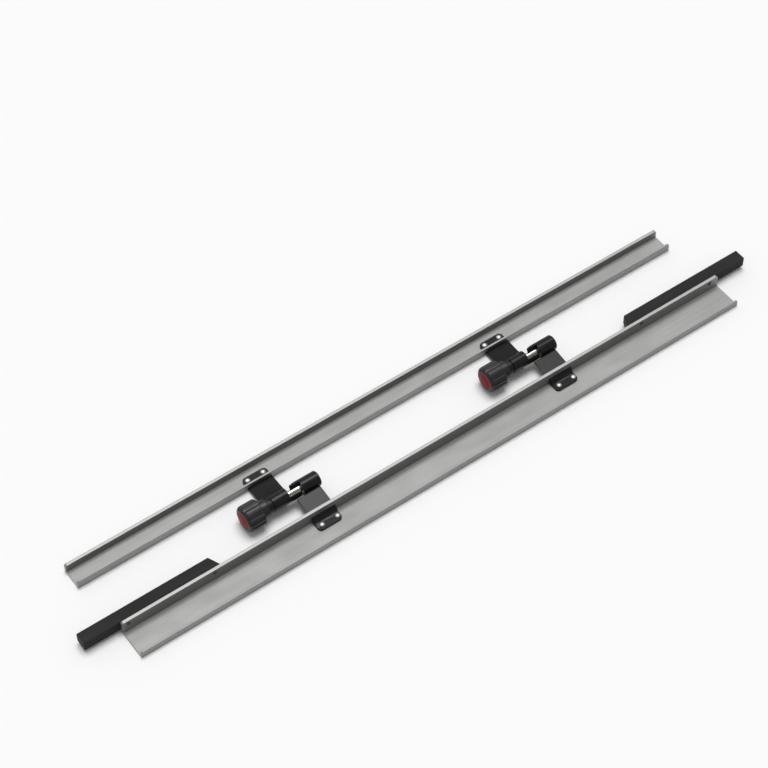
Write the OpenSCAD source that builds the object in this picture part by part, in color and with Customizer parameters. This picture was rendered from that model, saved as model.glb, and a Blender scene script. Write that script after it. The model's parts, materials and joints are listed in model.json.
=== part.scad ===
// Plan hanger: two channel bars joined by hinge clamps, with an arm at each end.
// X runs along the bars, +Y from the back bar to the front bar, +Z up. The bars lie open and
// flat on Z = 0, and the origin is under the middle of the whole hanger.

/* [Bars] */
// Length of both bars
bar_length = 650; // [580:10:1000]
// Thickness of the webs that lie flat
web_t = 1.6; // [1.2:0.1:1.8]
// Radius inside the channel corners
corner_r = 1; // [0.5:0.1:1.4]
// Radius along both edges of a flange's flat top
edge_r = 0.4; // [0.2:0.1:0.5]
// Radius of the flanges' top corners at the bars' ends
end_r = 2.5; // [0.6:0.1:4]
// Offset of the front bar to the left while the clamps are loose
open_offset = 7; // [0:0.5:12]

/* [Back bar] */
// Width from the flange face to the lip face
back_width = 31.8; // [31:0.1:38]
// Height of the tall flange beside the hinge
back_flange_h = 14.8; // [14:0.1:15.6]
// Thickness of the tall flange
back_flange_t = 3.2; // [2.2:0.1:3.4]
// Height of the outer lip
back_lip_h = 7.3; // [6:0.1:9]
// Thickness of the outer lip
back_lip_t = 1.6; // [1.2:0.1:2]

/* [Front bar] */
// Width from the near flange face to the far flange face
front_width = 22.3; // [21:0.1:23]
// Height of the near flange, beside the hinge
near_flange_h = 8.7; // [8:0.1:9.4]
// Thickness of the near flange
near_flange_t = 2; // [1.4:0.1:2.4]
// Height of the far flange, which folds down towards the back bar's web
far_flange_h = 9.8; // [9:0.1:11]
// Thickness of the far flange
far_flange_t = 3.2; // [2.2:0.1:3.4]

/* [Hinge] */
// Height of the hinge axis
axis_z = 13; // [13:0.1:14]
// Distance from the hinge axis to the back bar's flange face
back_reach = 26.5; // [25:0.5:32]
// How much further from the axis the front bar lies, so that it folds inside the back bar
nest_step = 5; // [5:0.1:6]
// Radius of the knuckle and of the barrel
knuckle_r = 7.2; // [6.6:0.1:7.4]
// Radius of the hinge pin
pin_r = 3; // [2.4:0.1:3.2]
// Way that the knob pushes the front leaf along the pin
tighten_travel = 1.5; // [0.5:0.1:1.8]

/* [Clamps] */
// Distance between the middles of the two clamps
clamp_spacing = 260; // [200:5:320]
// Distance from a clamp's middle to the face of its barrel
barrel_offset = 4; // [2:0.5:6]
// Length of the barrel on the back leaf
barrel_length = 18.7; // [17:0.1:24]
// Length of the knuckle on the front leaf
knuckle_length = 16; // [12:0.5:18]
// Space between knuckle and barrel, in which their fingers engage
finger_space = 14; // [12:0.5:18]
// Length of the pointed finger on the barrel
back_finger_length = 9.5; // [6:0.5:9.5]
// Angle from the top, on the front bar's side, at which the barrel's finger starts
back_finger_start = 18; // [0:1:18]
// Angle round the pin that the barrel's finger takes at its root
back_root_angle = 52; // [40:1:52]
// Angle round the pin that the barrel's finger takes at its tip
back_tip_angle = 9; // [5:1:9]
// Length of the finger on the knuckle
front_finger_length = 12; // [8:0.5:12]
// Angle from the top, on the back bar's side, at which the knuckle's finger starts
front_finger_start = 54; // [30:1:54]
// Angle round the pin that the knuckle's finger takes at its root
front_root_angle = 97; // [80:1:97]
// Angle round the pin that the knuckle's finger takes at its tip
front_tip_angle = 41; // [25:1:41]

/* [Leaves] */
// Thickness of both leaves
leaf_t = 2.2; // [1.8:0.1:2.2]
// Width of the front leaf along the hinge
front_leaf_w = 25; // [20:0.5:26]
// How far the front leaf runs past the knuckle's face, beside the fingers
front_leaf_lead = 5.5; // [3:0.1:6]
// Width of the back leaf along the hinge
back_leaf_w = 24.5; // [22:0.5:26]
// How far the back leaf runs past the barrel's face, beside the fingers
back_leaf_lead = 8.3; // [4:0.1:9]
// Height of the back leaf's top where it passes through the flange
back_leaf_z = 8.2; // [7.6:0.1:8.4]
// Length of the front leaf's tab from the near flange's face
front_tab = 11.4; // [10.6:0.1:14]
// Distance from the near flange's face to the front tab's rivets
front_rivet_y = 7.7; // [6.6:0.1:7.8]
// Length of the back leaf's tab from the tall flange's face
back_tab = 15.5; // [14.5:0.1:18]
// Distance from the tall flange's face to the back tab's rivets
back_rivet_y = 10.7; // [10.6:0.1:11.5]
// How far the back tab's rivets sit to the right of the leaf's middle
back_rivet_shift = 1.2; // [0:0.1:1.4]
// Radius of the tabs' corners
tab_r = 3.6; // [2:0.1:4]
// Distance between the two rivets of a tab
rivet_pitch = 16.2; // [12:0.1:16.4]
// Radius of the tab rivets' heads
rivet_head_r = 2.7; // [2.2:0.1:2.8]
// Radius of the rivets' shanks
rivet_r = 1.6; // [1.2:0.1:1.8]

/* [Knobs] */
// Radius of the knob's grip
knob_r = 12.5; // [11:0.1:12.6]
// Length of the knob's grip
knob_grip = 17.2; // [15:0.1:24]
// Radius round the grip at its capped end
knob_round = 4.3; // [2:0.1:4.3]
// Radius round the grip beside its neck
knob_rim = 0.8; // [0.4:0.1:2]
// Radius of the knob's neck
knob_neck_r = 8.4; // [7:0.1:9]
// Length of the knob's neck
knob_neck = 7.1; // [5:0.1:10]
// Number of shallow flutes round the grip
knob_flutes = 8; // [6:1:12]
// Radius of the end cap
cap_r = 8.2; // [6:0.1:8.2]
// Radius of the thrust bush between the neck and the knuckle
bush_r = 6.5; // [5.5:0.1:7]
// Length of the thrust bush
bush_length = 5.1; // [2:0.1:6]

/* [Hanging arms] */
// Depth of the arms, away from the flange
arm_w = 12.4; // [8:0.1:12.6]
// Height of the arms' underside
arm_z = 3; // [2:0.5:3]
// Height from the arms' underside to their top
arm_h = 10.8; // [10:0.1:11.5]
// How far the arms' inner ends slant back over their depth
arm_slant = 5.5; // [0:0.5:12]
// Length of each arm beyond the end of the bar
arm_reach = 35; // [20:1:50]
// Length of the left arm along the flange
left_arm_grip = 99.7; // [80:0.1:110]
// Length of the right arm along the flange
right_arm_grip = 106; // [80:0.1:110]
// Distance from the bar's end to the left arm's outer rivet
left_rivet_out = 6; // [5:0.5:12]
// Distance from the bar's end to the right arm's outer rivet
right_rivet_out = 10; // [5:0.5:12]
// Distance from the left arm's inner end to its inner rivet
left_rivet_in = 7.7; // [7:0.1:20]
// Distance from the right arm's inner end to its inner rivet
right_rivet_in = 14; // [7:0.1:20]

/* [Hidden] */
$fn = 64;

// Overrun of every cut past the face that it leaves
over = 1;
// Turning gap on the pin of the knuckle, the bush and the knob's insert
pin_gap = 0.05;
// Gap round what is fixed: the pin in its barrel, a shank in its hole, a cap in its seat
fixed_gap = 0.02;
// Gap between the faces that take the knob's thrust
thrust_gap = 0.1;
// Gap round a leaf in its slot
slot_gap = 0.25;
// Gap between a leaf's plate and what turns beside it
leaf_gap = 0.8;

// Distance from the axis at which the front leaf starts to rise to its knuckle
front_ramp = 15.5;
// Angles below the horizontal at which the rising plate's two faces meet the knuckle
front_top_angle = 50;
front_base_angle = 105;
// Drop from the axis to the place where the back leaf's top meets the barrel
back_join_drop = 2;
// Straight run of the back leaf past the tall flange, on top and underneath
bend_top = 0.6;
bend_base = 0.1;
// Distance that the back leaf's two faces take to come down to the web
bend_run = 3.3;
bend_base_run = 2.1;

// Height of the rivet heads, and the bevel and sink of their closed ends
rivet_head_h = 1.1;
rivet_bevel = 0.8;
rivet_sink = 0.1;
// Arm rivets: head radius, height of the head, distance below the arm's top, depth in the arm
arm_rivet_head_r = 2.3;
arm_rivet_head_h = 0.8;
arm_rivet_drop = 2.8;
arm_rivet_depth = 5;
// Small bevel along the arms' edges
arm_bevel = 0.8;
// Step by which the free end of an arm lies back from the flange's face
arm_relief = 0.3;

// Bevel at the barrel's free end and at the pin's ends
barrel_bevel = 1;
pin_bevel = 0.5;
// Length of the pin past the knuckle, and how far its other end lies inside the barrel
pin_reach = 22;
pin_recess = 0.3;
// Threaded insert: body radius, length, collar radius and thickness
insert_r = 5;
insert_length = 16;
collar_r = 5.8;
collar_t = 1;
// Room in the knob round the pin's end and beyond it
pin_room = 0.6;
// Radius and depth of the flutes
flute_r = 3.4;
flute_depth = 0.9;
// End cap: depth of its seat in the grip, flat rim and height of its dome
cap_seat = 2;
cap_rim = 0.5;
cap_dome = 0.9;

// Places across the bars
front_reach = back_reach + nest_step;
depth = back_width + back_reach + front_reach + front_width;
back_face_y = back_width - depth / 2;
axis_y = back_face_y + back_reach;
front_face_y = axis_y + front_reach;

// Places along the hinge, from the middle of a clamp
left_x = -clamp_spacing / 2;
right_x = clamp_spacing / 2;
barrel_end = barrel_offset + barrel_length;
knuckle_end = barrel_offset - finger_space;
knuckle_start = knuckle_end - knuckle_length;
bush_end = knuckle_start - thrust_gap;
bush_start = bush_end - bush_length;
knob_end = bush_start - thrust_gap;
grip_end = knob_end - knob_neck;
knob_start = grip_end - knob_grip;
pin_start = knuckle_start - pin_reach;
front_leaf_start = knuckle_end + front_leaf_lead - front_leaf_w;
back_leaf_start = barrel_offset - back_leaf_lead;
front_rivet_x = front_leaf_start + front_leaf_w / 2;
back_rivet_x = back_leaf_start + back_leaf_w / 2 + back_rivet_shift;

// Places of each arm's two rivets along the bar, with the right arm's mirrored to the left
left_arm_rivet_xs = [-bar_length / 2 + left_rivet_out,
    -bar_length / 2 + left_arm_grip - left_rivet_in];
right_arm_rivet_xs = [-bar_length / 2 + right_rivet_out,
    -bar_length / 2 + right_arm_grip - right_rivet_in];

// Heights from the hinge axis
base_dz = -axis_z;
web_dz = web_t - axis_z;
tab_dz = web_dz + leaf_t;
flange_pass_dz = back_leaf_z - axis_z;

// Larger than anything that a cut has to clear
span = 2 * knuckle_r;

// An outline of Y and Z drawn out along X between two places
module along_x(from, to) {
    translate([from, 0, 0]) rotate([90, 0, 90]) linear_extrude(to - from) children();
}

// An outline of X and Z drawn out along Y between two places
module along_y(from, to) {
    translate([0, to, 0]) rotate([90, 0, 0]) linear_extrude(to - from) children();
}

// A round rod along X between two places
module rod(r, from, to) {
    translate([from, 0, 0]) rotate([0, 90, 0]) cylinder(r = r, h = to - from);
}

// A low dome on a round base
module dome(r, h) {
    ball_r = (r * r + h * h) / (2 * h);
    rotate_extrude() intersection() {
        square([r, h]);
        translate([0, h - ball_r]) circle(ball_r, $fn = 256);
    }
}

// Places a child in the frame of a clamp: origin on the hinge axis at the clamp's middle
module at_clamp(x) {
    translate([x, axis_y, axis_z]) children();
}

// A flange or lip with a flat top and rounded edges, standing from Z = 0
module flange(t, h) {
    square([t, h - edge_r]);
    translate([edge_r, 0]) square([t - 2 * edge_r, h]);
    for (y = [edge_r, t - edge_r]) translate([y, h - edge_r]) circle(edge_r);
}

// The web and two flanges of a channel, with small radii in the corners
module channel(width, low_t, low_h, high_t, high_h) {
    square([width, web_t]);
    flange(low_t, low_h);
    translate([width - high_t, 0]) flange(high_t, high_h);
    translate([low_t, web_t]) corner_fillet();
    translate([width - high_t, web_t]) mirror([1, 0]) corner_fillet();
}

module corner_fillet() {
    difference() {
        square(corner_r);
        translate([corner_r, corner_r]) circle(corner_r);
    }
}

// Cuts that round the top corners of a flange at both ends of its bar
module end_corners(face, t, h) {
    for (side = [0, 1]) mirror([side, 0, 0]) {
        along_y(face - over, face + t + over)
            translate([bar_length / 2 - end_r, h - end_r]) difference() {
                square(end_r + over);
                circle(end_r);
            }
    }
}

// The holes of a pair of tab rivets, in the frame of a clamp
module tab_holes(x, y) {
    for (side = [-1, 1]) translate([x + side * rivet_pitch / 2, y, 0]) {
        translate([0, 0, base_dz - over])
            cylinder(r = rivet_r + fixed_gap, h = web_t + leaf_t + 2 * over);
        translate([0, 0, base_dz + rivet_sink])
            cylinder(r1 = rivet_r + rivet_bevel + fixed_gap, r2 = rivet_r + fixed_gap,
                h = rivet_bevel);
        translate([0, 0, base_dz - over])
            cylinder(r = rivet_r + rivet_bevel + fixed_gap, h = over + rivet_sink);
    }
}

module back_bar() color("silver") {
    difference() {
        along_x(-bar_length / 2, bar_length / 2)
            translate([back_face_y - back_width, 0])
                channel(back_width, back_lip_t, back_lip_h, back_flange_t, back_flange_h);
        end_corners(back_face_y - back_flange_t, back_flange_t, back_flange_h);
        end_corners(back_face_y - back_width, back_lip_t, back_lip_h);
        for (x = [left_x, right_x]) at_clamp(x) {
            translate([back_leaf_start - slot_gap, -back_reach - back_flange_t - over,
                flange_pass_dz - leaf_t - slot_gap])
                cube([back_leaf_w + 2 * slot_gap, back_flange_t + 2 * over,
                    leaf_t + 2 * slot_gap]);
            tab_holes(back_rivet_x, -back_reach - back_rivet_y);
        }
        arm_rivet_shanks(left_arm_rivet_xs, fixed_gap, over);
        mirror([1, 0, 0]) arm_rivet_shanks(right_arm_rivet_xs, fixed_gap, over);
    }
}

module front_bar() color("silver") translate([-open_offset, 0, 0]) {
    difference() {
        along_x(-bar_length / 2, bar_length / 2)
            translate([front_face_y, 0])
                channel(front_width, near_flange_t, near_flange_h, far_flange_t, far_flange_h);
        end_corners(front_face_y, near_flange_t, near_flange_h);
        end_corners(front_face_y + front_width - far_flange_t, far_flange_t, far_flange_h);
        for (x = [left_x, right_x]) translate([open_offset, 0, 0]) at_clamp(x) {
            translate([front_leaf_start - slot_gap, front_reach - over, web_dz])
                cube([front_leaf_w + 2 * slot_gap, near_flange_t + corner_r + over,
                    leaf_t + slot_gap]);
            tab_holes(front_rivet_x, front_reach + front_rivet_y);
        }
    }
}

// A plastic arm on the outside of the tall flange, at the left end, with a slanted inner end
module hanging_arm(grip, rivet_xs) color("#2b2b2c") {
    arm_start = -bar_length / 2 - arm_reach;
    arm_end = -bar_length / 2 + grip;
    difference() {
        along_x(arm_start, arm_end) translate([back_face_y, arm_z]) polygon([
            [0, 0],
            [arm_w - arm_bevel, 0],
            [arm_w, arm_bevel],
            [arm_w, arm_h - arm_bevel],
            [arm_w - arm_bevel, arm_h],
            [0, arm_h]]);
        translate([arm_end, back_face_y, arm_z - over]) linear_extrude(arm_h + 2 * over)
            polygon([
                [0, -over],
                [0, 0],
                [-arm_slant, arm_w],
                [-arm_slant, arm_w + over],
                [over, arm_w + over],
                [over, -over]]);
        translate([arm_start - over, back_face_y - over, arm_z - over])
            cube([arm_reach - arm_relief + over, arm_relief + over, arm_h + 2 * over]);
        arm_rivet_shanks(rivet_xs, fixed_gap, over);
    }
}

// Places children at an arm's two rivets, on the inner face of the tall flange
module at_arm_rivets(rivet_xs) {
    for (x = rivet_xs)
        translate([x, back_face_y - back_flange_t, arm_z + arm_h - arm_rivet_drop]) children();
}

// The shanks of those rivets. As a cut they are wider by a gap and start before the flange.
module arm_rivet_shanks(rivet_xs, gap, lead) {
    at_arm_rivets(rivet_xs) translate([0, -lead, 0]) rotate([-90, 0, 0])
        cylinder(r = rivet_r + gap, h = lead + back_flange_t + arm_rivet_depth + gap);
}

module arm_rivets(rivet_xs) color("#4a4a4c") {
    arm_rivet_shanks(rivet_xs, 0, 0);
    at_arm_rivets(rivet_xs) rotate([90, 0, 0]) dome(arm_rivet_head_r, arm_rivet_head_h);
}

// A finger round the pin, from X = 0 along +X. It takes the angles from the start angle on,
// measured from +Z towards -Y, over the root angle at X = 0 and the tip angle at its end.
module finger(length, start, root_angle, tip_angle) {
    rotate([180, -90, 0]) intersection() {
        cylinder(r = knuckle_r, h = length);
        rotate([0, 0, start]) translate([-span, 0, 0]) cube([2 * span, span, length]);
        rotate([0, 0, start + root_angle])
            linear_extrude(length, twist = root_angle - tip_angle, slices = 8)
                translate([-span, -span]) square([2 * span, span]);
    }
}

// A plate drawn along X with the two corners of its tab rounded. The tab ends at the given Y.
module leaf_plate(from, width, tab_y, direction) {
    intersection() {
        along_x(from, from + width) children();
        translate([from, tab_y, base_dz]) mirror([0, direction, 0]) linear_extrude(axis_z) {
            translate([0, tab_r]) square([width, 2 * depth]);
            translate([tab_r, 0]) square([width - 2 * tab_r, 2 * tab_r]);
            for (x = [tab_r, width - tab_r]) translate([x, tab_r]) circle(tab_r);
        }
    }
}

function on_knuckle(angle) = knuckle_r * [cos(angle), sin(angle)];

module front_leaf() color("#333334") {
    difference() {
        union() {
            difference() {
                leaf_plate(front_leaf_start, front_leaf_w, front_reach + front_tab, 1) polygon([
                    [front_reach + front_tab, web_dz],
                    [front_reach + front_tab, tab_dz],
                    [front_ramp, tab_dz],
                    on_knuckle(-front_top_angle),
                    [0, 0],
                    on_knuckle(-front_base_angle),
                    [front_ramp, web_dz]]);
                rod(knuckle_r + leaf_gap, front_leaf_start - over, knuckle_start);
                rod(knuckle_r + leaf_gap, knuckle_end, front_leaf_start + front_leaf_w + over);
            }
            rod(knuckle_r, knuckle_start, knuckle_end);
            translate([knuckle_end, 0, 0])
                finger(front_finger_length, front_finger_start, front_root_angle,
                    front_tip_angle);
        }
        rod(pin_r + pin_gap, knuckle_start - over, barrel_offset);
        tab_holes(front_rivet_x, front_reach + front_rivet_y);
    }
}

module back_leaf() color("#333334") {
    join_y = sqrt(knuckle_r * knuckle_r - back_join_drop * back_join_drop);
    inner_y = back_reach + back_flange_t;
    difference() {
        union() {
            difference() {
                leaf_plate(back_leaf_start, back_leaf_w, -back_reach - back_tab, 0) polygon([
                    [-back_reach - back_tab, web_dz],
                    [-back_reach - back_tab, tab_dz],
                    [-inner_y - bend_top - bend_run, tab_dz],
                    [-inner_y - bend_top, flange_pass_dz],
                    [-back_reach + bend_top, flange_pass_dz],
                    [-join_y, -back_join_drop],
                    [0, 0],
                    [-join_y + leaf_t, -back_join_drop - leaf_t],
                    [-back_reach + bend_top, flange_pass_dz - leaf_t],
                    [-inner_y - bend_base, flange_pass_dz - leaf_t],
                    [-inner_y - bend_base_run, web_dz]]);
                rod(knuckle_r + leaf_gap, back_leaf_start - over, barrel_offset);
            }
            rod(knuckle_r, barrel_offset, barrel_end - barrel_bevel);
            translate([barrel_end - barrel_bevel, 0, 0]) rotate([0, 90, 0])
                cylinder(r1 = knuckle_r, r2 = knuckle_r - barrel_bevel, h = barrel_bevel);
            translate([barrel_offset, 0, 0]) rotate([0, 0, 180])
                finger(back_finger_length, back_finger_start, back_root_angle, back_tip_angle);
        }
        rod(pin_r + fixed_gap, knuckle_end, barrel_end + over);
        tab_holes(back_rivet_x, -back_reach - back_rivet_y);
    }
}

module pin() color("#d8d4c8") {
    pin_end = barrel_end - pin_recess;
    rod(pin_r, pin_start + pin_bevel, pin_end - pin_bevel);
    translate([pin_end - pin_bevel, 0, 0]) rotate([0, 90, 0])
        cylinder(r1 = pin_r, r2 = pin_r - pin_bevel, h = pin_bevel);
    translate([pin_start + pin_bevel, 0, 0]) rotate([0, -90, 0])
        cylinder(r1 = pin_r, r2 = pin_r - pin_bevel, h = pin_bevel);
}

module thrust_bush() color("#2d2d2e") {
    difference() {
        rod(bush_r, bush_start, bush_end);
        rod(pin_r + pin_gap, bush_start - over, bush_end + over);
    }
}

// The grip with rounded edges and shallow flutes, and the neck that holds the insert
module knob() color("#2d2d2e") {
    difference() {
        union() {
            translate([knob_start, 0, 0]) rotate([0, 90, 0]) rotate_extrude() {
                square([knob_r - knob_round, knob_grip]);
                translate([0, knob_round])
                    square([knob_r - knob_rim, knob_grip - knob_round]);
                translate([0, knob_round])
                    square([knob_r, knob_grip - knob_round - knob_rim]);
                translate([knob_r - knob_round, knob_round]) circle(knob_round);
                translate([knob_r - knob_rim, knob_grip - knob_rim]) circle(knob_rim);
            }
            rod(knob_neck_r, grip_end - over, knob_end);
        }
        for (turn = [0 : knob_flutes - 1])
            rotate([turn * 360 / knob_flutes, 0, 0])
                translate([0, 0, knob_r + flute_r - flute_depth])
                    rod(flute_r, knob_start - over, grip_end + over);
        rod(insert_r + fixed_gap, knob_end - insert_length - fixed_gap, knob_end + over);
        rod(collar_r + fixed_gap, knob_end - collar_t - fixed_gap, knob_end + over);
        rod(pin_r + pin_room, pin_start - tighten_travel - pin_room, knob_end);
        rod(cap_r + fixed_gap, knob_start - over, knob_start + cap_seat);
    }
}

module knob_insert() color("#c2a25a") {
    difference() {
        union() {
            rod(insert_r, knob_end - insert_length, knob_end);
            rod(collar_r, knob_end - collar_t, knob_end);
        }
        rod(pin_r + pin_gap, knob_end - insert_length - over, knob_end + over);
    }
}

module knob_cap() color("#a5281e") {
    rod(cap_r, knob_start, knob_start + cap_seat);
    translate([knob_start, 0, 0]) rotate([0, -90, 0]) dome(cap_r - cap_rim, cap_dome);
}

// Two rivets through a tab and the web under it, in the frame of a clamp
module tab_rivets(x, y) color("#d9d9d6") {
    for (side = [-1, 1]) translate([x + side * rivet_pitch / 2, y, 0]) {
        translate([0, 0, base_dz + rivet_sink]) cylinder(r = rivet_r, h = web_t + leaf_t - rivet_sink);
        translate([0, 0, base_dz + rivet_sink])
            cylinder(r1 = rivet_r + rivet_bevel, r2 = rivet_r, h = rivet_bevel);
        translate([0, 0, tab_dz]) dome(rivet_head_r, rivet_head_h);
    }
}

module front_rivets() tab_rivets(front_rivet_x, front_reach + front_rivet_y);

module back_rivets() tab_rivets(back_rivet_x, -back_reach - back_rivet_y);

back_bar();
front_bar();
hanging_arm(left_arm_grip, left_arm_rivet_xs);  // left_hanging_arm
mirror([1, 0, 0]) hanging_arm(right_arm_grip, right_arm_rivet_xs);  // right_hanging_arm
arm_rivets(left_arm_rivet_xs);  // left_arm_rivets
mirror([1, 0, 0]) arm_rivets(right_arm_rivet_xs);  // right_arm_rivets
at_clamp(left_x) front_leaf();  // left_front_leaf
at_clamp(right_x) front_leaf();  // right_front_leaf
at_clamp(left_x) back_leaf();  // left_back_leaf
at_clamp(right_x) back_leaf();  // right_back_leaf
at_clamp(left_x) pin();  // left_pin
at_clamp(right_x) pin();  // right_pin
at_clamp(left_x) knob();  // left_knob
at_clamp(right_x) knob();  // right_knob
at_clamp(left_x) knob_cap();  // left_knob_cap
at_clamp(right_x) knob_cap();  // right_knob_cap
at_clamp(left_x) knob_insert();  // left_knob_insert
at_clamp(right_x) knob_insert();  // right_knob_insert
at_clamp(left_x) thrust_bush();  // left_thrust_bush
at_clamp(right_x) thrust_bush();  // right_thrust_bush
at_clamp(left_x) front_rivets();  // left_front_rivets
at_clamp(right_x) front_rivets();  // right_front_rivets
at_clamp(left_x) back_rivets();  // left_back_rivets
at_clamp(right_x) back_rivets();  // right_back_rivets
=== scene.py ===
# Plan hanger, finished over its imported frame. Metres; +X runs along the bars, +Y from the back
# bar to the front bar, +Z up from the plane that both bars lie on.
import json
import math
import bmesh
import bpy
from mathutils import Matrix, Vector


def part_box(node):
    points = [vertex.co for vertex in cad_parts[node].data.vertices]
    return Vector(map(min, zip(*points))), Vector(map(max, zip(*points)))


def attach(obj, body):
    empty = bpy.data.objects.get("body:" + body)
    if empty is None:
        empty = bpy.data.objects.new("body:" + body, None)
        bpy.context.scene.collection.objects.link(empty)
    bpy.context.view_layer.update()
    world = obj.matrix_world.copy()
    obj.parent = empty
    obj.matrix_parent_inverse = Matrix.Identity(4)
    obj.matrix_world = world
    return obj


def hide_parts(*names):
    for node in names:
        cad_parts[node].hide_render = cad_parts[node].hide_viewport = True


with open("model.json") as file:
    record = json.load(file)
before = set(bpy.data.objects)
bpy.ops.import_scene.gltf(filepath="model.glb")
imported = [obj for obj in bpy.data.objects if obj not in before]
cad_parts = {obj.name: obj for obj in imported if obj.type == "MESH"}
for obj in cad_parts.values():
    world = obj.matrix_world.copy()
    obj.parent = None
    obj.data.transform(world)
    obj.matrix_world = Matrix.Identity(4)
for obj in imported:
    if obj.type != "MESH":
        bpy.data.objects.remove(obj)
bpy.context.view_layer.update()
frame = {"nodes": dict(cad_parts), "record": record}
scene = bpy.context.scene
scene.view_settings.view_transform = "Standard"
body_of = {
    node: body
    for body, nodes in frame["record"]["behaviour"]["bodies"].items()
    for node in nodes
}

MM = 0.001
X = Vector((1, 0, 0))
Y = Vector((0, 1, 0))
Z = Vector((0, 0, 1))
SIDES = ("left", "right")

# Camera, fitted to the long edges of both bars
CAMERA_AT = (-0.74196, -0.99196, 1.62890)
CAMERA_LOOK = (0.3597, 0.5065, -0.7836)
CAMERA_ROLL = math.radians(-0.48)
CAMERA_LENS = 107.85
CAMERA_SENSOR = 36

# Light: one broad soft lamp nearly overhead, a little behind the hinge and to the right
KEY_FROM = (0.13, 0.18, 0.975)
KEY_ANGLE = math.radians(35)
KEY_STRENGTH = 2.05
SKY_OVERHEAD = (0.38, 0.38, 0.38, 1)
SKY_BEHIND = (0.62, 0.62, 0.62, 1)
SKY_BEFORE = (0.28, 0.28, 0.28, 1)
FLOOR_HALF = 9
FLOOR_DROP = 0.1 * MM
FLOOR_COLOUR = (0.93, 0.93, 0.93)

# The middle of a noise, which the patterns use
NOISE_LOW = 0.3
NOISE_HIGH = 0.7

# Mesh work
WELD = 0.001 * MM
FLAT = math.radians(0.4)
CREASE = math.radians(32)
CORNER_STEPS = 5
ROUND_STEPS = 14
ROUND_FROM = 1.5 * MM
DOME_STEPS = 10
TURNED_STEPS = 64

# Softened edges
BAR_EDGE = 0.25 * MM
ARM_EDGE = 0.45 * MM
LEAF_EDGE = 0.22 * MM

# A bar's skins: the height above which a flange's top gets a painted highlight in a brighter tone,
# how far upwards such a face has to look, and how near to the bar's end a sawn face lies
PAINTED_HIGHLIGHT_FROM = 9.2 * MM
LOOKS_UP = 0.5
SAWN_WITHIN = 0.06 * MM

# Knob: the grip's flutes and the mouldings of its outline
KNOB_STEPS = 192
FLUTES = 8
FLUTE_R = 3.4 * MM
FLUTE_DEPTH = 0.9 * MM
FLUTE_BLEND = 0.3 * MM
GRIP_LENGTH = 17.2 * MM
GRIP_ROUND = 4.1 * MM
GRIP_RIM = 0.8 * MM
SEAT_DEPTH = 2 * MM
SEAT_EDGE = 0.08 * MM
NECK_R = 8.4 * MM
NECK_FILLET = 0.9 * MM
NECK_EDGE = 0.8 * MM
FIXED_GAP = 0.02 * MM
PIN_ROOM = 0.6 * MM
KNOB_TRAVEL = 1.5 * MM

# Cap, insert, bush and pin
CAP_DOME = 0.9 * MM
CAP_RIM = 0.5 * MM
CAP_EDGE = 0.3 * MM
INSERT_R = 5 * MM
COLLAR_T = 1 * MM
TURNING_GAP = 0.05 * MM
TURNED_EDGE = 0.2 * MM
BUSH_EDGE = 0.5 * MM
PIN_BEVEL = 0.5 * MM
PIN_CENTRE_R = 0.8 * MM
PIN_CENTRE_DEPTH = 0.5 * MM

# Rivets
SHANK_R = 1.6 * MM
HEAD_H = 1.1 * MM
HEAD_EDGE = 0.18 * MM
CLOSED_BEVEL = 0.8 * MM
DIMPLE_R = 0.9 * MM
DIMPLE_DEPTH = 0.25 * MM
ARM_HEAD_H = 0.8 * MM


# Camera and light
def photo_camera():
    data = bpy.data.cameras.new("camera")
    data.lens = CAMERA_LENS
    data.sensor_width = CAMERA_SENSOR
    camera = bpy.data.objects.new("camera", data)
    scene.collection.objects.link(camera)
    look = Vector(CAMERA_LOOK).normalized()
    level = look.cross(Z).normalized()
    axes = Matrix((level, level.cross(look), -look)).transposed().to_4x4()
    roll = Matrix.Rotation(CAMERA_ROLL, 4, "Z")
    camera.matrix_world = Matrix.Translation(CAMERA_AT) @ axes @ roll
    scene.camera = camera


def key_lamp():
    data = bpy.data.lights.new("key", "SUN")
    data.energy = KEY_STRENGTH
    data.angle = KEY_ANGLE
    lamp = bpy.data.objects.new("key", data)
    scene.collection.objects.link(lamp)
    lamp.rotation_euler = Vector(KEY_FROM).to_track_quat("Z", "Y").to_euler()


def sky():
    """A plain grey room, paler behind the hanger than before it."""
    world = bpy.data.worlds.new("sky")
    world.use_nodes = True
    scene.world = world
    nodes = world.node_tree.nodes
    link = world.node_tree.links.new
    where = nodes.new("ShaderNodeTexCoord")
    split = nodes.new("ShaderNodeSeparateXYZ")
    link(where.outputs["Generated"], split.inputs["Vector"])
    depth = nodes.new("ShaderNodeMapRange")
    depth.inputs["From Min"].default_value = -1
    link(split.outputs["Y"], depth.inputs["Value"])
    sides = nodes.new("ShaderNodeMix")
    sides.data_type = "RGBA"
    sides.inputs["A"].default_value = SKY_BEFORE
    sides.inputs["B"].default_value = SKY_BEHIND
    link(depth.outputs["Result"], sides.inputs["Factor"])
    height = nodes.new("ShaderNodeMapRange")
    link(split.outputs["Z"], height.inputs["Value"])
    top = nodes.new("ShaderNodeMix")
    top.data_type = "RGBA"
    link(sides.outputs["Result"], top.inputs["A"])
    top.inputs["B"].default_value = SKY_OVERHEAD
    link(height.outputs["Result"], top.inputs["Factor"])
    link(top.outputs["Result"], nodes["Background"].inputs["Color"])


def floor():
    bm = bmesh.new()
    bmesh.ops.create_grid(bm, x_segments=1, y_segments=1, size=FLOOR_HALF)
    bmesh.ops.translate(bm, vec=(0, 0, -FLOOR_DROP), verts=bm.verts)
    mesh = bpy.data.meshes.new("floor")
    bm.to_mesh(mesh)
    bm.free()
    made, shader = material("floor", FLOOR_COLOUR, 0, 0.9, 0.2)
    mesh.materials.append(made)
    ground = bpy.data.objects.new("floor", mesh)
    scene.collection.objects.link(ground)


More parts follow.
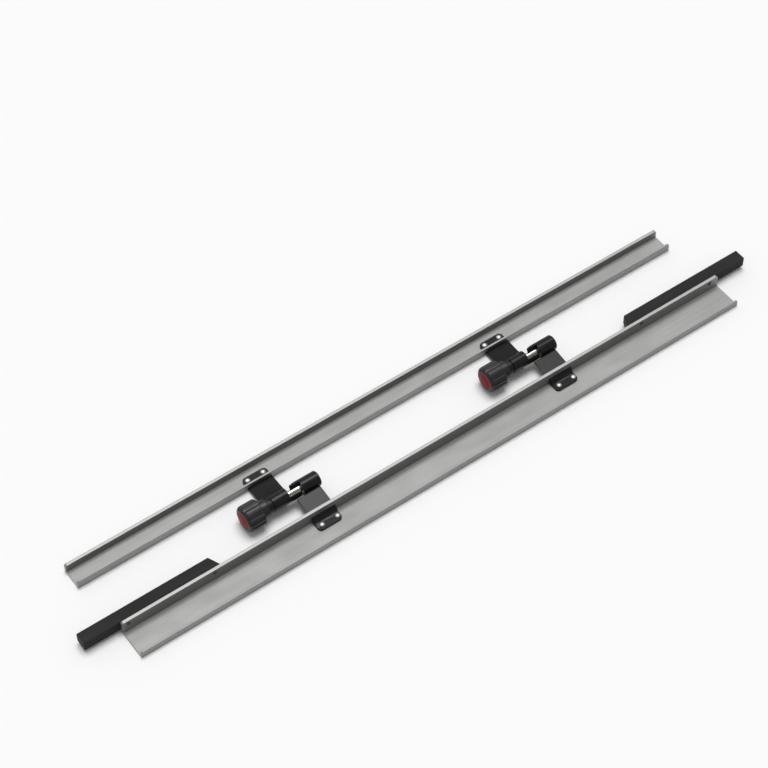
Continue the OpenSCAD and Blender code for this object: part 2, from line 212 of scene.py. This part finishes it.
# Materials
def material(name, colour, metallic, roughness, specular=0.5):
    """A new material and its shader. What doesn't vary over the surface is set on the shader."""
    made = bpy.data.materials.new(name)
    made.use_nodes = True
    shader = made.node_tree.nodes["Principled BSDF"]
    shader.inputs["Base Color"].default_value = (*colour, 1)
    shader.inputs["Metallic"].default_value = metallic
    shader.inputs["Roughness"].default_value = roughness
    shader.inputs["Specular IOR Level"].default_value = specular
    return made, shader


def noise(made, scale, detail=2):
    """Noise on the piece's own coordinates, with its own scale along X, Y and Z, per metre."""
    nodes = made.node_tree.nodes
    where = nodes.new("ShaderNodeTexCoord")
    mapping = nodes.new("ShaderNodeMapping")
    mapping.inputs["Scale"].default_value = scale
    made.node_tree.links.new(where.outputs["Object"], mapping.inputs["Vector"])
    pattern = nodes.new("ShaderNodeTexNoise")
    pattern.inputs["Scale"].default_value = 1
    pattern.inputs["Detail"].default_value = detail
    made.node_tree.links.new(mapping.outputs["Vector"], pattern.inputs["Vector"])
    return pattern.outputs["Fac"]


def spread(made, value, low, high):
    """Maps the middle of a noise to the range from low to high."""
    node = made.node_tree.nodes.new("ShaderNodeMapRange")
    node.inputs["From Min"].default_value = NOISE_LOW
    node.inputs["From Max"].default_value = NOISE_HIGH
    node.inputs["To Min"].default_value = low
    node.inputs["To Max"].default_value = high
    made.node_tree.links.new(value, node.inputs["Value"])
    return node.outputs["Result"]


def tint(made, shader, value, dark, pale):
    """Varies the base colour between two tones."""
    mix = made.node_tree.nodes.new("ShaderNodeMix")
    mix.data_type = "RGBA"
    mix.inputs["A"].default_value = (*dark, 1)
    mix.inputs["B"].default_value = (*pale, 1)
    made.node_tree.links.new(spread(made, value, 0, 1), mix.inputs["Factor"])
    made.node_tree.links.new(mix.outputs["Result"], shader.inputs["Base Color"])


def gloss(made, shader, value, smooth, rough):
    """Varies the roughness between two values."""
    made.node_tree.links.new(spread(made, value, smooth, rough), shader.inputs["Roughness"])


def relief(made, shader, *layers):
    """Fine relief from patterns, each with its height."""
    normal = None
    for value, height in layers:
        bump = made.node_tree.nodes.new("ShaderNodeBump")
        bump.inputs["Strength"].default_value = 1
        bump.inputs["Distance"].default_value = height
        made.node_tree.links.new(value, bump.inputs["Height"])
        if normal:
            made.node_tree.links.new(normal, bump.inputs["Normal"])
        normal = bump.outputs["Normal"]
    made.node_tree.links.new(normal, shader.inputs["Normal"])


def anodised_aluminium():
    """Satin extrusion with fine die lines along the bar."""
    made, shader = material("bar_aluminium", (0.34, 0.34, 0.335), 1, 0.6)
    die_lines = noise(made, (5, 1500, 1500), 3)
    cloud = noise(made, (25, 60, 60))
    grain = noise(made, (2600, 5200, 5200))
    tint(made, shader, die_lines, (0.322, 0.322, 0.317), (0.359, 0.359, 0.353))
    gloss(made, shader, cloud, 0.57, 0.64)
    relief(made, shader, (die_lines, 0.01 * MM), (grain, 0.006 * MM))
    return made


def painted_highlight_aluminium():
    """The tops of the tall flange and the far flange: a painted highlight in a brighter tone, with
    a smoother finish.
    """
    made, shader = material("bar_aluminium_painted_highlight", (0.37, 0.37, 0.365), 1, 0.5)
    top_streaks = noise(made, (40, 1800, 1800), 3)
    # The brighter tone is painted highlight; the streaks only vary it at random
    tint(made, shader, top_streaks, (0.33, 0.33, 0.325), (0.39, 0.39, 0.385))
    gloss(made, shader, top_streaks, 0.44, 0.56)
    relief(made, shader, (top_streaks, 0.01 * MM))
    return made


def sawn_aluminium():
    """The bars' ends, with the saw's fine marks."""
    made, shader = material("bar_aluminium_cut", (0.33, 0.33, 0.325), 1, 0.5)
    saw_lines = noise(made, (300, 300, 5200), 3)
    tint(made, shader, saw_lines, (0.27, 0.27, 0.265), (0.39, 0.39, 0.385))
    gloss(made, shader, saw_lines, 0.4, 0.56)
    relief(made, shader, (saw_lines, 0.03 * MM))
    return made


def moulded_arm():
    """Black plastic with a fine spark-eroded texture."""
    made, shader = material("arm_plastic", (0.027, 0.027, 0.0275), 0, 0.55, 0.06)
    texture = noise(made, (2400, 2400, 2400), 3)
    flow = noise(made, (18, 90, 90))
    tint(made, shader, flow, (0.023, 0.023, 0.0235), (0.031, 0.031, 0.0315))
    gloss(made, shader, texture, 0.48, 0.62)
    relief(made, shader, (texture, 0.03 * MM))
    return made


def black_enamel():
    """Satin enamel with a faint orange peel."""
    made, shader = material("leaf_paint", (0.01, 0.01, 0.0102), 0, 0.26, 0.23)
    peel = noise(made, (900, 900, 900), 1)
    dust = noise(made, (3000, 3000, 3000))
    cloud = noise(made, (110, 110, 110))
    tint(made, shader, cloud, (0.0085, 0.0085, 0.0087), (0.0115, 0.0115, 0.0117))
    gloss(made, shader, dust, 0.22, 0.32)
    relief(made, shader, (peel, 0.012 * MM), (dust, 0.004 * MM))
    return made


def moulded_knob():
    """Black plastic with a satin skin."""
    made, shader = material("knob_plastic", (0.016, 0.0164, 0.016), 0, 0.36, 0.4)
    texture = noise(made, (3200, 3200, 3200))
    flow = noise(made, (60, 140, 140))
    tint(made, shader, flow, (0.013, 0.0134, 0.013), (0.019, 0.0195, 0.019))
    gloss(made, shader, texture, 0.3, 0.42)
    relief(made, shader, (texture, 0.012 * MM))
    return made


def smooth_bush():
    """Smooth black plastic, turned to size."""
    made, shader = material("bush_plastic", (0.01, 0.01, 0.01), 0, 0.4, 0.25)
    grooves = noise(made, (5000, 60, 60), 3)
    tint(made, shader, grooves, (0.008, 0.008, 0.008), (0.013, 0.013, 0.013))
    gloss(made, shader, grooves, 0.34, 0.46)
    relief(made, shader, (grooves, 0.006 * MM))
    return made


def moulded_cap():
    """Red plastic, a little uneven in colour."""
    made, shader = material("cap_red", (0.24, 0.012, 0.011), 0, 0.45, 0.08)
    flow = noise(made, (160, 160, 160), 3)
    texture = noise(made, (2600, 2600, 2600))
    tint(made, shader, flow, (0.2, 0.009, 0.009), (0.28, 0.016, 0.014))
    gloss(made, shader, texture, 0.4, 0.5)
    relief(made, shader, (texture, 0.008 * MM))
    return made


def turned_metal(name, dark, pale, smooth, rough):
    """Metal off a lathe, with fine grooves round the X axis."""
    made, shader = material(name, pale, 1, rough)
    grooves = noise(made, (9000, 60, 60), 3)
    tint(made, shader, grooves, dark, pale)
    gloss(made, shader, grooves, smooth, rough)
    relief(made, shader, (grooves, 0.004 * MM))
    return made


def pressed_metal(name, dark, pale, metallic, smooth, rough):
    """A rivet's metal, marked by the setting tool."""
    made, shader = material(name, pale, metallic, rough)
    marks = noise(made, (1500, 1500, 1500), 3)
    tint(made, shader, marks, dark, pale)
    gloss(made, shader, marks, smooth, rough)
    relief(made, shader, (marks, 0.015 * MM))
    return made


# Mesh helpers
def finished(bm, node, slot, *skins):
    """Makes a piece of a bmesh. It stands for the CAD node and rides on the node's body."""
    name = node + "_finished"
    mesh = bpy.data.meshes.new(name)
    bm.to_mesh(mesh)
    bm.free()
    for skin in skins:
        mesh.materials.append(skin)
    mesh.polygons.foreach_set("use_smooth", [True] * len(mesh.polygons))
    mesh.set_sharp_from_angle(angle=CREASE)
    piece = bpy.data.objects.new(name, mesh)
    scene.collection.objects.link(piece)
    even = piece.modifiers.new("even_normals", "WEIGHTED_NORMAL")
    even.keep_sharp = True
    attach(piece, body_of[node])
    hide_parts(node)


def welded(node):
    """A merged copy of a CAD node, with its flat faces whole."""
    bm = bmesh.new()
    bm.from_mesh(frame["nodes"][node].data)
    bmesh.ops.remove_doubles(bm, verts=bm.verts, dist=WELD)
    bmesh.ops.dissolve_limit(bm, angle_limit=FLAT, verts=bm.verts, edges=bm.edges)
    return bm


def soften(bm, width, segments, holes=()):
    """Rounds the sharp outer edges, but not those of a hole that a rivet's head covers."""
    def shows(edge):
        middle = (edge.verts[0].co + edge.verts[1].co) / 2
        return all((middle - centre).xy.length > head_r for centre, head_r in holes)

    sharp = [
        edge for edge in bm.edges
        if edge.is_manifold and edge.is_convex and edge.calc_face_angle() > CREASE and shows(edge)
    ]
    bmesh.ops.bevel(
        bm, geom=sharp, offset=width, offset_type="OFFSET", segments=segments, profile=0.5,
        affect="EDGES", clamp_overlap=False, material=-1)


def rounded(outline):
    """The points of an outline whose corners are each given with a radius."""
    points = []
    for before, here, after in zip(outline[-1:] + outline[:-1], outline, outline[1:] + outline[:1]):
        corner = Vector(here[:2])
        radius = here[2]
        if radius == 0:
            points.append(corner)
            continue
        back = (Vector(before[:2]) - corner).normalized()
        ahead = (Vector(after[:2]) - corner).normalized()
        half = back.angle(ahead) / 2
        centre = corner + (back + ahead).normalized() * radius / math.sin(half)
        start = corner + back * radius / math.tan(half) - centre
        end = corner + ahead * radius / math.tan(half) - centre
        steps = CORNER_STEPS if radius < ROUND_FROM else ROUND_STEPS
        for step in range(steps + 1):
            points.append(centre + start.slerp(end, step / steps) * radius)
    return points


def dome(top, radius, height):
    """The points of a low dome, from its top on the axis to its rim."""
    ball = (radius ** 2 + height ** 2) / (2 * height)
    outs = [radius * k / DOME_STEPS for k in range(DOME_STEPS + 1)]
    return [(top + ball - math.sqrt(ball ** 2 - out ** 2), out, 0) for out in outs]


def spun(bm, points, closed, at, axis=X, steps=TURNED_STEPS):
    """Turns an outline of points, each along and out from the axis, into a solid at a place."""
    part = bmesh.new()
    verts = [part.verts.new((along, 0, out)) for along, out in points]
    edges = [part.edges.new(pair) for pair in zip(verts, verts[1:])]
    if closed:
        edges.append(part.edges.new((verts[-1], verts[0])))
    bmesh.ops.spin(
        part, geom=verts + edges, cent=(0, 0, 0), axis=X, angle=2 * math.pi, steps=steps,
        use_merge=True, use_duplicate=False)
    bmesh.ops.remove_doubles(part, verts=part.verts, dist=WELD)
    bmesh.ops.recalc_face_normals(part, faces=part.faces)
    turn = X.rotation_difference(axis).to_matrix().to_4x4()
    bmesh.ops.transform(part, matrix=Matrix.Translation(at) @ turn, verts=part.verts)
    mesh = bpy.data.meshes.new("part")
    part.to_mesh(mesh)
    part.free()
    bm.from_mesh(mesh)
    bpy.data.meshes.remove(mesh)


def ends(node):
    """A turned node's start on its axis, its length along X and its largest radius."""
    low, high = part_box(node)
    middle = (low + high) / 2
    return Vector((low.x, middle.y, middle.z)), high.x - low.x, (high.y - low.y) / 2


# Bars and arms
def tab_rivet_places(node):
    """The two rivets of a tab, from under the web, and the radius of their heads."""
    low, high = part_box(node)
    head_r = (high.y - low.y) / 2
    y = (low.y + high.y) / 2
    return [(Vector((x, y, low.z)), head_r) for x in (low.x + head_r, high.x - head_r)]


def bar(which, skin, cut_skin, painted_highlight_skin):
    node = which + "_bar"
    bm = welded(node)
    holes = [place for side in SIDES for place in tab_rivet_places(f"{side}_{which}_rivets")]
    soften(bm, BAR_EDGE, 3, holes)
    low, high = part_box(node)
    for face in bm.faces:
        centre = face.calc_center_median()
        if min(centre.x - low.x, high.x - centre.x) < SAWN_WITHIN:
            face.material_index = 1
        # Upward faces high on the flanges get the painted highlight, a brighter tone than the rest
        # of the bar
        elif centre.z > PAINTED_HIGHLIGHT_FROM and face.normal.z > LOOKS_UP:
            face.material_index = 2
        else:
            face.material_index = 0
    finished(bm, node, "bar_aluminium", skin, cut_skin, painted_highlight_skin)


def hanging_arm(side, skin):
    node = side + "_hanging_arm"
    bm = welded(node)
    soften(bm, ARM_EDGE, 4)
    finished(bm, node, "arm_plastic", skin)


def arm_rivets(side, skin):
    node = side + "_arm_rivets"
    low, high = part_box(node)
    head_r = (high.z - low.z) / 2
    length = high.y - low.y
    outline = dome(0, head_r - HEAD_EDGE, ARM_HEAD_H - HEAD_EDGE)
    outline += [
        (ARM_HEAD_H, head_r, HEAD_EDGE),
        (ARM_HEAD_H, SHANK_R, 0),
        (length, SHANK_R, TURNED_EDGE),
        (length, 0, 0),
    ]
    bm = bmesh.new()
    for x in (low.x + head_r, high.x - head_r):
        spun(bm, rounded(outline), False, Vector((x, low.y, (low.z + high.z) / 2)), Y)
    finished(bm, node, "rivet_dark", skin)


# Hinge clamps
def leaf(side, which, skin):
    node = f"{side}_{which}_leaf"
    bm = welded(node)
    soften(bm, LEAF_EDGE, 3, tab_rivet_places(f"{side}_{which}_rivets"))
    finished(bm, node, "leaf_paint", skin)


def tab_rivets(side, which, skin):
    """Rivets with a low dome on the tab and a closed end, with a dimple, flush under the web."""
    node = f"{side}_{which}_rivets"
    low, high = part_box(node)
    height = high.z - low.z
    bm = bmesh.new()
    for place, head_r in tab_rivet_places(node):
        head = dome(0, head_r - HEAD_EDGE, HEAD_H - HEAD_EDGE)
        outline = [(height - along, out, edge) for along, out, edge in head] + [
            (height - HEAD_H, head_r, HEAD_EDGE),
            (height - HEAD_H, SHANK_R, 0),
            (CLOSED_BEVEL, SHANK_R, 0),
            (0, SHANK_R + CLOSED_BEVEL, 0),
            (0, DIMPLE_R, 0),
            (DIMPLE_DEPTH, 0, 0),
        ]
        spun(bm, rounded(outline), False, place, Z)
    finished(bm, node, "rivet_aluminium", skin)


def pin(side, skin):
    """A pin with bevelled ends, each with the mark of the lathe's centre."""
    node = side + "_pin"
    at, length, radius = ends(node)
    outline = [
        (PIN_CENTRE_DEPTH, 0, 0),
        (0, PIN_CENTRE_R, 0),
        (0, radius - PIN_BEVEL, 0),
        (PIN_BEVEL, radius, TURNED_EDGE),
        (length - PIN_BEVEL, radius, TURNED_EDGE),
        (length, radius - PIN_BEVEL, 0),
        (length, PIN_CENTRE_R, 0),
        (length - PIN_CENTRE_DEPTH, 0, 0),
    ]
    bm = bmesh.new()
    spun(bm, rounded(outline), False, at)
    finished(bm, node, "pin_steel", skin)


def thrust_bush(side, skin):
    node = side + "_thrust_bush"
    at, length, radius = ends(node)
    bore = ends(side + "_pin")[2] + TURNING_GAP
    outline = [
        (0, bore, TURNED_EDGE),
        (0, radius, BUSH_EDGE),
        (length, radius, BUSH_EDGE),
        (length, bore, TURNED_EDGE),
    ]
    bm = bmesh.new()
    spun(bm, rounded(outline), True, at)
    finished(bm, node, "bush_plastic", skin)


# Knobs
def knob_insert(side, skin):
    node = side + "_knob_insert"
    at, length, collar_r = ends(node)
    bore = ends(side + "_pin")[2] + TURNING_GAP
    outline = [
        (0, bore, TURNED_EDGE),
        (0, INSERT_R, TURNED_EDGE),
        (length - COLLAR_T, INSERT_R, 0),
        (length - COLLAR_T, collar_r, TURNED_EDGE),
        (length, collar_r, TURNED_EDGE),
        (length, bore, TURNED_EDGE),
    ]
    bm = bmesh.new()
    spun(bm, rounded(outline), True, at)
    finished(bm, node, "insert_brass", skin)


def knob_cap(side, skin):
    node = side + "_knob_cap"
    at, length, radius = ends(node)
    outline = dome(0, radius - CAP_RIM, CAP_DOME) + [
        (CAP_DOME, radius, CAP_EDGE),
        (length, radius, TURNED_EDGE),
        (length, 0, 0),
    ]
    bm = bmesh.new()
    spun(bm, rounded(outline), False, at, steps=KNOB_STEPS)
    finished(bm, node, "cap_red", skin)


def soft_min(a, b, blend):
    near = max(blend - abs(a - b), 0) / blend
    return min(a, b) - near * near * blend / 4


def flute(bm, at, radius):
    """Presses round flutes, evenly spaced, into the grip."""
    reach = radius + FLUTE_R - FLUTE_DEPTH
    pitch = 2 * math.pi / FLUTES
    for vert in bm.verts:
        y = vert.co.y - at.y
        z = vert.co.z - at.z
        out = math.hypot(y, z)
        angle = (math.atan2(y, z) + pitch / 2) % pitch - pitch / 2
        across = reach * math.sin(angle)
        if out < radius - FLUTE_DEPTH - FLUTE_BLEND or abs(across) >= FLUTE_R:
            continue
        wall = reach * math.cos(angle) - math.sqrt(FLUTE_R ** 2 - across ** 2)
        share = soft_min(out, wall, FLUTE_BLEND) / out
        vert.co.y = at.y + y * share
        vert.co.z = at.z + z * share


def knob(side, skin):
    """A fluted grip with a seat for its cap, and a neck that holds the insert."""
    node = side + "_knob"
    at, length, radius = ends(node)
    pin_at, pin_length, pin_r = ends(side + "_pin")
    insert_at, insert_length, collar_r = ends(side + "_knob_insert")
    cap_r = ends(side + "_knob_cap")[2] + FIXED_GAP
    insert_start = insert_at.x - at.x - FIXED_GAP
    room_start = pin_at.x - at.x - KNOB_TRAVEL - PIN_ROOM
    outline = [
        (SEAT_DEPTH, 0, 0),
        (SEAT_DEPTH, cap_r, 0),
        (0, cap_r, SEAT_EDGE),
        (0, radius, GRIP_ROUND),
        (GRIP_LENGTH, radius, GRIP_RIM),
        (GRIP_LENGTH, NECK_R, NECK_FILLET),
        (length, NECK_R, NECK_EDGE),
        (length, collar_r + FIXED_GAP, 0),
        (length - COLLAR_T - FIXED_GAP, collar_r + FIXED_GAP, 0),
        (length - COLLAR_T - FIXED_GAP, INSERT_R + FIXED_GAP, 0),
        (insert_start, INSERT_R + FIXED_GAP, 0),
        (insert_start, pin_r + PIN_ROOM, 0),
        (room_start, pin_r + PIN_ROOM, 0),
        (room_start, 0, 0),
    ]
    bm = bmesh.new()
    spun(bm, rounded(outline), False, at, steps=KNOB_STEPS)
    flute(bm, at, radius)
    finished(bm, node, "knob_plastic", skin)


photo_camera()
key_lamp()
sky()
floor()

aluminium = anodised_aluminium()
cut_aluminium = sawn_aluminium()
# Painted highlight for the flange tops
painted_highlight = painted_highlight_aluminium()
arm_plastic = moulded_arm()
enamel = black_enamel()
knob_plastic = moulded_knob()
bush_plastic = smooth_bush()
cap_plastic = moulded_cap()
steel = turned_metal("pin_steel", (0.7, 0.67, 0.6), (0.84, 0.81, 0.74), 0.16, 0.24)
brass = turned_metal("insert_brass", (0.56, 0.4, 0.16), (0.68, 0.5, 0.22), 0.22, 0.34)
rivet_metal = pressed_metal(
    "rivet_aluminium", (0.54, 0.54, 0.525), (0.66, 0.66, 0.645), 1, 0.4, 0.54)
dark_metal = pressed_metal(
    "rivet_dark", (0.055, 0.055, 0.055), (0.085, 0.085, 0.085), 0, 0.32, 0.46)

for which in ("back", "front"):
    bar(which, aluminium, cut_aluminium, painted_highlight)
for side in SIDES:
    hanging_arm(side, arm_plastic)
    arm_rivets(side, dark_metal)
    for which in ("back", "front"):
        leaf(side, which, enamel)
        tab_rivets(side, which, rivet_metal)
    pin(side, steel)
    thrust_bush(side, bush_plastic)
    knob_insert(side, brass)
    knob_cap(side, cap_plastic)
    knob(side, knob_plastic)
